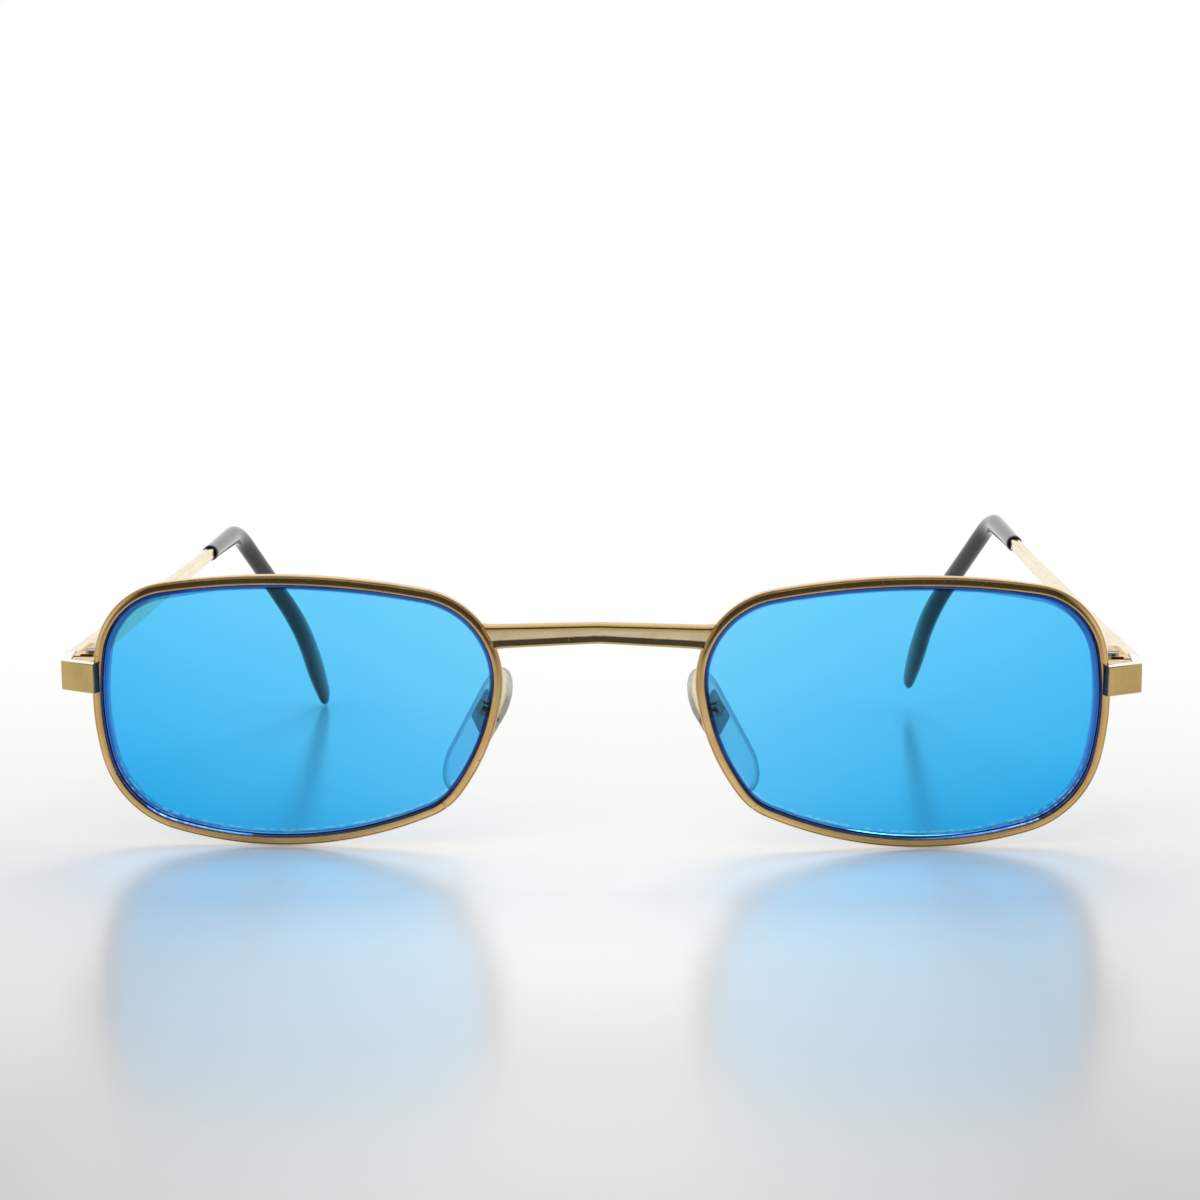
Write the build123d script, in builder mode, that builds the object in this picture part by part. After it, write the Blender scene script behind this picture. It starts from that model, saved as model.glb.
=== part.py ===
from build123d import *
import os
from math import atan2, cos, degrees, radians, sin

# Narrow metal sunglasses, in millimetres and degrees. They are drawn in the wearer's frame: X runs across
# the face, Y from the lens fronts back towards the ears and Z up, from a point midway between the lens
# centres. The wearer's left side is drawn at positive X, and the right side is its mirror image.
# The finished glasses are leaned back until they stand on the eyewires and the lower of the two tips.

# Lens opening, its curve and its place
lens_width = 49.3
lens_height = 31.8
lens_spacing = 74.6
lens_wrap_angle = 4
lens_curve_radius = 132

# Corners of the opening before they are rounded, outwards and upwards from the lens centre, as shares of the
# lens width and height. The rounds and bulges are shares of the lens height.
corner_shares = {
    "nasal_top": (-0.494, 0.362),
    "temple_top": (0.447, 0.389),
    "temple_bottom": (0.430, -0.429),
    "nasal_bottom": (-0.375, -0.387),
}
corner_round_shares = {"nasal_top": 0.327, "temple_top": 0.294, "temple_bottom": 0.342, "nasal_bottom": 0.226}
side_bulge_shares = (0.092, 0.081, 0.124, 0.092)

# Eyewire and lens
eyewire_width = 1.25
eyewire_depth = 2.0
eyewire_split = 0.12
groove_depth = 0.5
groove_width = 0.7
lens_thickness = 1.8
lens_ridge_width = 0.5
lens_clearance = 0.03

# Bridge bar
bridge_top_level = 10.2
bridge_height = 2.4
bridge_top_fall = 0.45
bridge_bottom_fall = 1.0
bridge_apex_radius = 9
bridge_setback = 0.5
bridge_thickness = 1.5
bridge_relief = 0.35
bridge_lip_height = 0.42
bridge_groove_height = 0.62
bridge_bevel = 0.5

# End piece, a strip bent round the corner of the front. Its setback counts from the lens's outer edge, and so
# do those of the closing block and the hinge.
end_piece_reach = 3.9
front_corner_setback = 1.164
strip_height = 3.7
strip_thickness = 1.2
strip_level = 2.5
strip_lap = 0.487
strip_sweep_angle = 27.6
side_leg_flare = 0.2

# Closing block behind the end piece, in two halves
block_height = 1.7
block_setback = 1.214
block_depth = 2.4
closing_screw_inset = 2.1
closing_screw_radius = 0.4
closing_head_radius = 0.7
closing_head_height = 0.45

# Hinge
pin_inset = 3.1
pin_setback = 6.264
pin_radius = 0.55
pin_head_radius = 0.95
pin_head_height = 0.35
pin_clearance = 0.04
knuckle_radius = 1.25
knuckle_gap = 0.06
middle_knuckle_height = 1.2
hinge_height = 3.5
leaf_thickness = 0.8
front_leaf_length = 2.3
temple_leaf_length = 7
temple_leaf_height = 2.4
butt_gap = 0.12

# Driver slot of the screws, as a share of the head radius wide and of the head height deep
slot_width_share = 0.3
slot_depth_share = 0.5

# Temple strip. The wearer's left temple is bent a little higher than the right one.
temple_slope_angle = 0.9
temple_convergence_angle = 6.0
temple_lift_angles = {"left": 1.3, "right": 0}
temple_thickness = 1.3
temple_front_height = 3.5
temple_rear_height = 1.5
temple_rear_thickness = 1.4
temple_taper_length = 35
temple_middle_height = 2.2
strip_length = 74
bend_distance = 87.5

# Temple core and tip
upper_drop_length = 25.8
lower_drop_length = 21.4
upper_drop_angle = 45.3
lower_drop_angle = 47.6
upper_inward_angle = 24.4
lower_inward_angle = 8.5
tip_bend_radius = 8
tip_curve_radius = 70
core_radius = 0.55
core_clearance = 0.02
core_end_distance = 10
tip_cover = 3
# Tip sections from its mouth to its end: how far along each one lies, as a share, and its size
tip_station_shares = (0, 0.1, 0.2, 0.26, 0.32, 0.42, 0.56, 0.72, 0.88, 0.96, 1)
tip_widths = (2.3, 2.4, 2.5, 2.5, 2.5, 2.5, 2.5, 2.5, 2.4, 1.9, 0.8)
tip_heights = (2.3, 2.6, 2.8, 2.8, 2.8, 2.8, 3.2, 4.3, 4.7, 3.8, 1.6)

# Nose pad
pad_centre_across = 15.85
pad_centre_setback = 7.9
pad_centre_level = -4.6
pad_frontal_angle = 28
pad_rake_angle = 8.5
pad_splay_angle = 64
pad_length = 17.2
pad_top_radius = 3.9
pad_bottom_radius = 3.3
pad_thickness = 1.6
pad_edge_radius = 0.6

# Insert moulded into the pad, with the lug that the screw holds
lug_rise = 3.9
lug_shift = 1.7
lug_thickness = 0.7
lug_radius = 0.5
lug_drop = 0.65
plate_shift = 1.65
plate_fall = 1.2
plate_width = 4.5
plate_length = 4.3
plate_thickness = 0.4
plate_depth = 0.3

# Pad arm with its box, and the pad screw
box_width = 1.5
box_length = 1.4
box_back = 1.45
box_gap = 0.3
lug_side_gap = 0.05
lug_end_gap = 0.1
pad_screw_radius = 0.28
pad_screw_clearance = 0.03
pad_screw_head_radius = 0.5
pad_screw_head_height = 0.3
arm_wire_radius = 0.38
arm_bend_radius = 0.7
arm_root_inset = 0.15
arm_root_level = -2
arm_root_setback = 2.1
arm_reach_back = 3.2
arm_run = 1.0
arm_seat = 0.2


def across(angle):
    """The level direction turned by the angle from straight out."""
    return Vector(cos(radians(angle)), sin(radians(angle)), 0)


def falling(inward_angle, drop_angle):
    """The direction that runs back, inwards and down by the two angles."""
    level = across(90 + inward_angle) * cos(radians(drop_angle))
    return level - Vector(0, 0, sin(radians(drop_angle)))


# Frames that the pieces are drawn in
lens_outward = across(lens_wrap_angle)
lens_plane = Plane(origin=(lens_spacing / 2, 0, 0), x_dir=lens_outward, z_dir=across(lens_wrap_angle - 90))
curve_centre = lens_plane.offset(-lens_curve_radius).origin
lens_curve_sag = lens_curve_radius - (lens_curve_radius**2 - lens_width**2 / 4) ** 0.5
bridge_plane = Plane(origin=(0, 0, 0), x_dir=(1, 0, 0), z_dir=(0, -1, 0))
lens_edge = lens_plane.offset(-lens_curve_sag).from_local_coords(Vector(lens_width / 2, 0, 0))
front_half_width = (lens_spacing + lens_width) / 2 + end_piece_reach
pin_place = Vector(front_half_width - pin_inset, lens_edge.Y + pin_setback, strip_level)
pin_direction = Vector(0, sin(radians(temple_slope_angle)), cos(radians(temple_slope_angle)))
hinge_plane = Plane(origin=pin_place, x_dir=(1, 0, 0), z_dir=pin_direction)


def temple_plane(side):
    """Along the temple: X out through its thickness, Y back along it, Z up."""
    turned = hinge_plane.rotated((0, 0, temple_convergence_angle))
    return turned.rotated((temple_lift_angles[side], 0, 0))


# Eyewire: a wire closed round the lens, whose walls all aim at the centre of the lens curve
front_level = eyewire_width
back_level = -3 * eyewire_depth


def corner(name, spread):
    out_share, up_share = corner_shares[name]
    return (out_share * lens_width * spread, up_share * lens_height * spread)


def opening_outline(level, margin):
    """The lens opening, wider all round by the margin, at the level in front of the lens plane."""
    spread = (lens_curve_radius + level) / lens_curve_radius
    names = list(corner_shares)
    with BuildSketch(lens_plane.offset(level)) as outline:
        with BuildLine():
            for start, end, share in zip(names, names[1:] + names[:1], side_bulge_shares):
                bulge = share * lens_height * spread
                SagittaArc(corner(start, spread), corner(end, spread), bulge)
        make_face()
        for name, share in corner_round_shares.items():
            sharp = outline.vertices().sort_by_distance(corner(name, spread))[0]
            fillet(sharp, share * lens_height * spread)
        if margin:
            offset(amount=margin)
    return outline.sketch


def opening_walls(margin):
    return [opening_outline(front_level, margin), opening_outline(back_level, margin)]


def curved_layer(front, thickness):
    """Keep of the current part only the layer that starts this far behind the lens curve."""
    with Locations(curve_centre):
        Sphere(lens_curve_radius - front, mode=Mode.INTERSECT)
        Sphere(lens_curve_radius - front - thickness, mode=Mode.SUBTRACT)


with BuildPart() as eyewire_column:
    loft(opening_walls(eyewire_width), ruled=True)

with BuildPart() as eyewire_body:
    add(eyewire_column.part)
    with Locations(curve_centre):
        Sphere(lens_curve_radius, mode=Mode.INTERSECT)

with BuildPart() as groove:
    loft(opening_walls(groove_depth), ruled=True)
    curved_layer((eyewire_depth - groove_width) / 2, groove_width)

with BuildPart() as eyewire:
    loft(opening_walls(eyewire_width), ruled=True)
    curved_layer(0, eyewire_depth)
    loft(opening_walls(0), ruled=True, mode=Mode.SUBTRACT)
    add(groove.part, mode=Mode.SUBTRACT)
    with BuildSketch(hinge_plane):
        with Locations((0, block_setback - pin_setback)):
            Rectangle(pin_inset, pin_inset)
    extrude(amount=eyewire_split / 2, both=True, mode=Mode.SUBTRACT)

with BuildPart() as lens_ridge:
    loft(opening_walls(groove_depth - lens_clearance), ruled=True)
    curved_layer((eyewire_depth - lens_ridge_width) / 2, lens_ridge_width)

with BuildPart() as lens:
    loft(opening_walls(-lens_clearance), ruled=True)
    curved_layer((eyewire_depth - lens_thickness) / 2, lens_thickness)
    add(lens_ridge.part)


# Bridge: a flat bar soldered between the eyewires, with a groove below its band that slopes out to a lip
def bridge_curve(height, end_fall):
    """A line across the bar at the height above its lower edge, fallen at the ends, round in the middle."""
    reach = lens_spacing / 4
    middle = bridge_top_level - bridge_height + height
    return [(-reach, middle - end_fall), (0, middle), (reach, middle - end_fall)]


def bridge_layer(low, high, high_end_fall, thickness):
    """A layer of the bar between two heights, built out from the recessed face by the thickness."""
    upper = bridge_curve(high, high_end_fall)
    lower = bridge_curve(low, bridge_bottom_fall)
    with BuildSketch(bridge_plane.offset(-bridge_setback - bridge_relief)) as face:
        with BuildLine():
            FilletPolyline(*upper, radius=bridge_apex_radius)
            Line(upper[-1], lower[-1])
            FilletPolyline(*lower, radius=bridge_apex_radius)
            Line(lower[0], upper[0])
        make_face()
    extrude(face.sketch, amount=thickness)


def upper_front_edges(layer):
    """The three edges along the top of a layer's front face: two straight ones and the peak between them."""
    return layer.edges().group_by(Axis.Y)[0].sort_by(Axis.Z)[-3:]


band_low = bridge_lip_height + bridge_groove_height
with BuildPart() as bridge_lip:
    bridge_layer(0, band_low, bridge_bottom_fall, bridge_relief - bridge_thickness)
    bridge_layer(0, band_low, bridge_bottom_fall, bridge_relief)
    chamfer(upper_front_edges(bridge_lip), bridge_relief, bridge_groove_height)

with BuildPart() as bridge:
    bridge_layer(band_low, bridge_height, bridge_top_fall, bridge_relief - bridge_thickness)
    bridge_layer(band_low, bridge_height, bridge_top_fall, bridge_relief)
    chamfer(upper_front_edges(bridge), bridge_bevel)
    add(bridge_lip.part)
    add(eyewire_column.part, mode=Mode.SUBTRACT)
    mirror(eyewire_column.part, about=Plane.YZ, mode=Mode.SUBTRACT)


# End piece: a strip soldered on the eyewire's front, swept back and bent sharply round to the hinge
corner_place = (front_half_width - pin_place.X, front_corner_setback - pin_setback)
front_leg_length = (end_piece_reach + strip_lap) / cos(radians(strip_sweep_angle))
front_leg = Vector(corner_place) - across(strip_sweep_angle) * front_leg_length
side_leg = Vector(corner_place[0] + side_leg_flare, -butt_gap / 2)
strip_inner_face = side_leg.X - strip_thickness

with BuildPart() as end_piece:
    with BuildSketch(hinge_plane):
        with BuildLine():
            Polyline(front_leg, corner_place, side_leg)
            offset(amount=strip_thickness, side=Side.LEFT, kind=Kind.INTERSECTION)
        make_face()
    extrude(amount=strip_height / 2, both=True)
    add(eyewire_body.part, mode=Mode.SUBTRACT)


# Closing block: two halves beside the eyewire's split, drawn together by a screw from below
block_middle = block_setback - pin_setback + block_depth / 2
screw_spot = (strip_inner_face - closing_screw_inset / 2, block_middle)


def disc(plane, radius, spot=(0, 0)):
    with BuildSketch(plane) as round_face:
        with Locations(spot):
            Circle(radius)
    return round_face.sketch


def slab(plane, width, length, spot=(0, 0)):
    with BuildSketch(plane) as square_face:
        with Locations(spot):
            Rectangle(width, length)
    return square_face.sketch


def screw_head(plane, radius, height, spot=(0, 0)):
    """A flat round head that stands on the plane, with a driver slot across its top."""
    extrude(disc(plane, radius, spot), amount=height)
    slot = slab(plane.offset(height), 3 * radius, slot_width_share * radius, spot)
    extrude(slot, amount=-slot_depth_share * height, mode=Mode.SUBTRACT)


def closing_half(direction):
    """Half of the block, above the split at direction 1 and below it at -1."""
    face = slab(
        hinge_plane.offset(direction * eyewire_split / 2),
        pin_inset,
        block_depth,
        (strip_inner_face - pin_inset / 2, block_middle),
    )
    extrude(face, amount=direction * (block_height - eyewire_split / 2))
    add(eyewire_column.part, mode=Mode.SUBTRACT)
    add(end_piece.part, mode=Mode.SUBTRACT)
    bore = disc(hinge_plane, closing_screw_radius, screw_spot)
    extrude(bore, amount=block_height, both=True, mode=Mode.SUBTRACT)


with BuildPart() as closing_block_upper:
    closing_half(1)

block_floor = hinge_plane.offset(-block_height)
with BuildPart() as closing_block_lower:
    closing_half(-1)
    recess = disc(block_floor, closing_head_radius, screw_spot)
    extrude(recess, amount=closing_head_height, mode=Mode.SUBTRACT)

screw_seat = Plane(
    origin=block_floor.offset(closing_head_height).origin,
    x_dir=block_floor.x_dir,
    z_dir=-block_floor.z_dir,
)
with BuildPart() as closing_screw:
    extrude(disc(block_floor, closing_screw_radius, screw_spot), amount=2 * block_height)
    screw_head(screw_seat, closing_head_radius, closing_head_height, (screw_spot[0], -screw_spot[1]))

# Hinge: the front leaf carries the two outer knuckles and the temple leaf the middle one
outer_knuckle_low = middle_knuckle_height / 2 + knuckle_gap
relief_radius = knuckle_radius + knuckle_gap
web_length = knuckle_radius - butt_gap / 2


def knuckle(low, high, reach, direction):
    """A knuckle round the pin with a web out to its leaf, behind the pin at direction 1."""
    web_middle = (reach / 2, direction * (knuckle_radius + butt_gap / 2) / 2)
    extrude(disc(hinge_plane.offset(low), knuckle_radius), amount=high - low)
    extrude(slab(hinge_plane.offset(low), reach, web_length, web_middle), amount=high - low)


def pin_bore(radius):
    extrude(disc(hinge_plane, radius), amount=strip_height, both=True, mode=Mode.SUBTRACT)


with BuildPart() as hinge_front_leaf:
    leaf_spot = (strip_inner_face - leaf_thickness / 2, -(front_leaf_length + butt_gap / 2) / 2)
    leaf = slab(hinge_plane, leaf_thickness, front_leaf_length - butt_gap / 2, leaf_spot)
    extrude(leaf, amount=hinge_height / 2, both=True)
    extrude(disc(hinge_plane, relief_radius), amount=outer_knuckle_low, both=True, mode=Mode.SUBTRACT)
    knuckle(outer_knuckle_low, hinge_height / 2, leaf_spot[0], -1)
    knuckle(-hinge_height / 2, -outer_knuckle_low, leaf_spot[0], -1)
    add(end_piece.part, mode=Mode.SUBTRACT)
    pin_bore(pin_radius)

temple_outer_face = side_leg.X
temple_inner_face = temple_outer_face - temple_thickness
temple_leaf_plane = hinge_plane.rotated((0, 0, temple_convergence_angle))

with BuildPart() as hinge_temple_leaf:
    leaf_spot = (temple_inner_face - leaf_thickness / 2, (temple_leaf_length + butt_gap) / 2)
    leaf = slab(temple_leaf_plane, leaf_thickness, temple_leaf_length - butt_gap, leaf_spot)
    extrude(leaf, amount=temple_leaf_height / 2, both=True)
    for direction in (1, -1):
        relief = disc(hinge_plane.offset(direction * middle_knuckle_height / 2), relief_radius)
        extrude(relief, amount=direction * hinge_height, mode=Mode.SUBTRACT)
    knuckle(-middle_knuckle_height / 2, middle_knuckle_height / 2, leaf_spot[0], 1)
    pin_bore(pin_radius + pin_clearance)

with BuildPart() as hinge_screw:
    extrude(disc(hinge_plane, pin_radius), amount=hinge_height / 2, both=True)
    screw_head(hinge_plane.offset(hinge_height / 2), pin_head_radius, pin_head_height)


# Temple: a flat strip that thins into a round core, with a plastic tip over the bent end
def temple_points(side):
    """Butt end, bend, ear curve and end of the temple's middle line."""
    along = temple_plane(side)
    middle = temple_outer_face - temple_thickness / 2
    butt = along.from_local_coords(Vector(middle, butt_gap / 2, 0))
    bend = along.from_local_coords(Vector(middle, bend_distance, 0))
    upper_drop = falling(upper_inward_angle, upper_drop_angle - temple_lift_angles[side])
    lower_drop = falling(lower_inward_angle, lower_drop_angle - temple_lift_angles[side])
    ear = bend + upper_drop * upper_drop_length
    return [butt, bend, ear, ear + lower_drop * lower_drop_length]


def section_plane(point, direction):
    """Square to the direction, with X as nearly straight out as it can be."""
    outward = Vector(1, 0, 0) - direction * direction.X
    return Plane(origin=point, x_dir=outward.normalized(), z_dir=direction)


def strip_sections(side):
    """Sections of the flat strip from the hinge to just inside the tip's mouth."""
    along = temple_plane(side)
    middle = temple_outer_face - temple_thickness / 2
    stations = (
        (butt_gap / 2, temple_thickness, temple_front_height),
        (temple_taper_length, temple_thickness, temple_middle_height),
        (strip_length, temple_rear_thickness, temple_rear_height),
    )
    sections = []
    for distance, thickness, height in stations:
        station = Plane(along.from_local_coords(Vector(middle, distance, 0)), along.x_dir, along.y_dir)
        sections.append(slab(station, thickness, height))
    return sections


def tip_sections(path):
    """Sections of the tip across the path, from its mouth to its end."""
    mouth = (strip_length - tip_cover) / path.length
    sections = []
    for share, width, height in zip(tip_station_shares, tip_widths, tip_heights):
        spot = mouth + share * (1 - mouth)
        with BuildSketch(section_plane(path @ spot, path % spot)) as outline:
            Ellipse(width / 2, height / 2)
        sections.append(outline.sketch)
    return sections


temples = {}
tips = {}
for side in temple_lift_angles:
    points = temple_points(side)
    with BuildLine() as temple_path:
        FilletPolyline(*points, radius=(tip_bend_radius, tip_curve_radius))
    path = temple_path.wires()[0]
    core_start = points[0] + (points[1] - points[0]).normalized() * (strip_length - core_radius)
    with BuildLine() as core_path:
        FilletPolyline(core_start, *points[1:], radius=(tip_bend_radius, tip_curve_radius))
    core_wire = core_path.wires()[0]
    core_wire = core_wire.trim(0, 1 - core_end_distance / core_wire.length)
    core_ring = section_plane(core_wire @ 0, core_wire % 0)
    with BuildPart() as core:
        with BuildSketch(core_ring):
            Circle(core_radius)
        sweep(path=core_wire)
    with BuildPart() as core_bore:
        with BuildSketch(core_ring):
            Circle(core_radius + core_clearance)
        sweep(path=core_wire)
    with BuildPart() as temple:
        loft(strip_sections(side), ruled=True)
        add(core.part)
    with BuildPart() as tip:
        loft(tip_sections(path))
        add(core_bore.part, mode=Mode.SUBTRACT)
        add(temple.part, mode=Mode.SUBTRACT)
    temples[side] = temple.part
    tips[side] = tip.part
    print(side, "temple path", round(path.length, 1), [tuple(round(v, 2) for v in p) for p in points])


# Nose pad and the metal insert moulded into it. X runs across the pad, Y down it and Z towards the nose.
pad_down = across(0) * sin(radians(pad_frontal_angle)) - Vector(0, 0, cos(radians(pad_frontal_angle)))
pad_down = pad_down * cos(radians(pad_rake_angle)) + Vector(0, sin(radians(pad_rake_angle)), 0)
splay = across(pad_splay_angle)
pad_aside = (splay - pad_down * splay.dot(pad_down)).normalized()
pad_centre = Vector(pad_centre_across, pad_centre_setback, pad_centre_level)
pad_plane = Plane(origin=pad_centre, x_dir=pad_aside, z_dir=pad_aside.cross(pad_down))
lug_centre = pad_plane.from_local_coords(Vector(-lug_shift, -lug_rise, 0))
insert_plane = Plane(origin=lug_centre, x_dir=pad_plane.x_dir, z_dir=pad_plane.z_dir)
lug_plane = Plane(origin=lug_centre, x_dir=insert_plane.y_dir, z_dir=insert_plane.x_dir)
screw_point = (0, -lug_drop)
pad_screw_place = lug_plane.from_local_coords(Vector(0, -lug_drop, 0))


def lug_sketch(end_radius):
    """The lug seen along the screw: a tab from inside the pad to its round end about the screw."""
    with BuildSketch(lug_plane) as lug:
        with Locations((0, (plate_depth - lug_drop) / 2)):
            Rectangle(2 * end_radius, plate_depth + lug_drop)
        with Locations(screw_point):
            Circle(end_radius)
    return lug.sketch


def pad_screw_hole(radius):
    extrude(disc(lug_plane, radius, screw_point), amount=box_width / 2, both=True, mode=Mode.SUBTRACT)


with BuildPart() as pad_insert:
    with BuildSketch(insert_plane.offset(plate_depth)):
        with Locations((plate_shift, plate_fall)):
            RectangleRounded(plate_width, plate_length, lug_radius)
    extrude(amount=plate_thickness)
    extrude(lug_sketch(lug_radius), amount=lug_thickness / 2, both=True)
    pad_screw_hole(pad_screw_radius + pad_screw_clearance)

with BuildPart() as nose_pad:
    with BuildSketch(pad_plane):
        with Locations((0, pad_top_radius - pad_length / 2)):
            Circle(pad_top_radius)
        with Locations((0, pad_length / 2 - pad_bottom_radius)):
            Circle(pad_bottom_radius)
        make_hull()
    extrude(amount=pad_thickness)
    rims = nose_pad.faces().sort_by(Axis(pad_centre, pad_plane.z_dir))
    fillet(rims[0].edges() + rims[-1].edges(), pad_edge_radius)
    add(pad_insert.part, mode=Mode.SUBTRACT)

# Pad arm: a wire from the back of the eyewire to the front of a box that holds the lug between two walls
arm_root = Vector((lens_spacing - lens_width) / 2 - arm_root_inset, arm_root_setback, arm_root_level)
arm_back = arm_root + Vector(0, arm_reach_back - arm_root_setback, 0)
arm_side = insert_plane.from_local_coords(Vector(-box_width / 2 - arm_run, 0, -(box_gap + box_back) / 2))
arm_end = insert_plane.from_local_coords(Vector(arm_seat - box_width / 2, 0, -(box_gap + box_back) / 2))

with BuildPart() as pad_arm:
    with BuildLine() as arm_path:
        FilletPolyline(arm_root, arm_back, arm_side, arm_end, radius=arm_bend_radius)
    with BuildSketch(Plane(origin=arm_root, z_dir=arm_path.wires()[0] % 0)):
        Circle(arm_wire_radius)
    sweep()
    add(eyewire.part, mode=Mode.SUBTRACT)
    extrude(slab(insert_plane.offset(-box_gap), box_width, box_length), amount=box_gap - box_back)
    lug_slot = slab(insert_plane.offset(-box_gap), lug_thickness + 2 * lug_side_gap, box_length)
    extrude(lug_slot, amount=box_gap - lug_drop - lug_radius - lug_end_gap, mode=Mode.SUBTRACT)
    pad_screw_hole(pad_screw_radius)

with BuildPart() as pad_screw:
    extrude(disc(lug_plane, pad_screw_radius, screw_point), amount=box_width / 2, both=True)
    screw_head(lug_plane.offset(box_width / 2), pad_screw_head_radius, pad_screw_head_height, screw_point)

# The pieces of one side, drawn at the wearer's left
side_pieces = {
    "eyewire": eyewire.part,
    "lens": lens.part,
    "end_piece": end_piece.part,
    "closing_block_upper": closing_block_upper.part,
    "closing_block_lower": closing_block_lower.part,
    "closing_screw": closing_screw.part,
    "hinge_front_leaf": hinge_front_leaf.part,
    "hinge_temple_leaf": hinge_temple_leaf.part,
    "hinge_screw": hinge_screw.part,
    "pad_arm": pad_arm.part,
    "pad_screw": pad_screw.part,
    "pad_insert": pad_insert.part,
    "nose_pad": nose_pad.part,
}

# Lean the glasses back until the eyewires and the lower tip stand on one level
lean = 0
for _ in range(4):
    turned = Location((0, 0, 0), (lean, 0, 0))
    front_low = eyewire.part.moved(turned).bounding_box().min.Z
    tip_low = tips["right"].moved(turned).bounding_box().min.Z
    lean += degrees(atan2(front_low - tip_low, bend_distance + upper_drop_length))
turned = Location((0, 0, 0), (lean, 0, 0))
boxes = [piece.moved(turned).bounding_box() for piece in (*side_pieces.values(), *tips.values())]
depth_middle = (min(box.min.Y for box in boxes) + max(box.max.Y for box in boxes)) / 2
standing = Location((0, -depth_middle, -min(box.min.Z for box in boxes)), (lean, 0, 0))

os.makedirs("parts", exist_ok=True)


def write(piece, name):
    """Stand the piece with the whole glasses, and write it."""
    with BuildPart() as placed:
        with Locations(standing):
            add(piece)
    placed.part.label = name
    export_step(placed.part, f"parts/{name}.step")


def mirrored(piece):
    with BuildPart() as image:
        mirror(piece, about=Plane.YZ)
    return image.part


write(bridge.part, "bridge")
for name, piece in side_pieces.items():
    write(piece, f"left_{name}")
    write(mirrored(piece), f"right_{name}")
write(temples["left"], "left_temple")
write(tips["left"], "left_temple_tip")
write(mirrored(temples["right"]), "right_temple")
write(mirrored(tips["right"]), "right_temple_tip")


def stood(point):
    return tuple(round(value, 3) for value in (standing * Location(point)).position)


def stood_direction(direction):
    leaned = (turned * Location(direction)).position
    return tuple(round(value, 5) for value in leaned)


print("lean", round(lean, 3), "standing at", [round(v, 3) for v in standing.position])
print("hinge pin", stood(pin_place), "along", stood_direction(pin_direction))
print("pad screw", stood(pad_screw_place), "along", stood_direction(lug_plane.z_dir))
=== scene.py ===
from math import cos, pi, radians, sin, tan

import bmesh
import bpy
import numpy as np
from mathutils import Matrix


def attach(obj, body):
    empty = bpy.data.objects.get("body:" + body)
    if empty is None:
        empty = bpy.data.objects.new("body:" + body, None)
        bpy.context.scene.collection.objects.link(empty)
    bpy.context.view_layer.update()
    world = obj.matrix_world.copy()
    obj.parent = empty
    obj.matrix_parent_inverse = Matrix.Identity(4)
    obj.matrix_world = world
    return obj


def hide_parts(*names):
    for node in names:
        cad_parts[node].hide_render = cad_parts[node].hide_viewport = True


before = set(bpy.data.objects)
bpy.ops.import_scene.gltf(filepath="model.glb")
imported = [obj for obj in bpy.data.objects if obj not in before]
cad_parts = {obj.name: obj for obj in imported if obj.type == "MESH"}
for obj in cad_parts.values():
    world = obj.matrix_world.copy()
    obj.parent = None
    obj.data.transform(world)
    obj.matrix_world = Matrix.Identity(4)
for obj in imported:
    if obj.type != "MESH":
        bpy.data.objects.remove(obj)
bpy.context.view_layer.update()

# Eyewires: each is one flat wire of gold-coloured metal closed round its lens, about 1.25 mm wide and 2 mm
# deep, satin on its front and brown along its inner bevel. A groove inside it holds the lens, and it is split
# behind the end piece. Sizes are millimetres in the wearer's frame: X out to the wearer's left, Y back, Z up.
lean = radians(7.001)
stood_at = np.array((0, -65.529, 17.726))
lens_spacing, lens_wrap, curve_radius = 74.6, radians(4), 132
lens_width, lens_height = 49.3, 31.8
wire_width, wire_depth, wire_split = 1.25, 2.0, 0.12
groove_depth, groove_width = 0.5, 0.7
strip_level = 2.5
sides = (("left", 1), ("right", -1))

# The corners of the lens opening before they are rounded, clockwise from the upper one at the nose, how far
# the sides between them bulge and the corners' radii, all as shares of the lens's width and height.
corner_shares = np.array(((-0.494, 0.362), (0.447, 0.389), (0.430, -0.429), (-0.375, -0.387)))
corners = corner_shares * (lens_width, lens_height)
bulges = np.array((0.092, 0.081, 0.124, 0.092)) * lens_height
rounds = np.array((0.327, 0.294, 0.342, 0.226)) * lens_height


def unit(vectors):
    """The vectors made one long."""
    return vectors / np.linalg.norm(vectors, axis=-1, keepdims=True)


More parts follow.
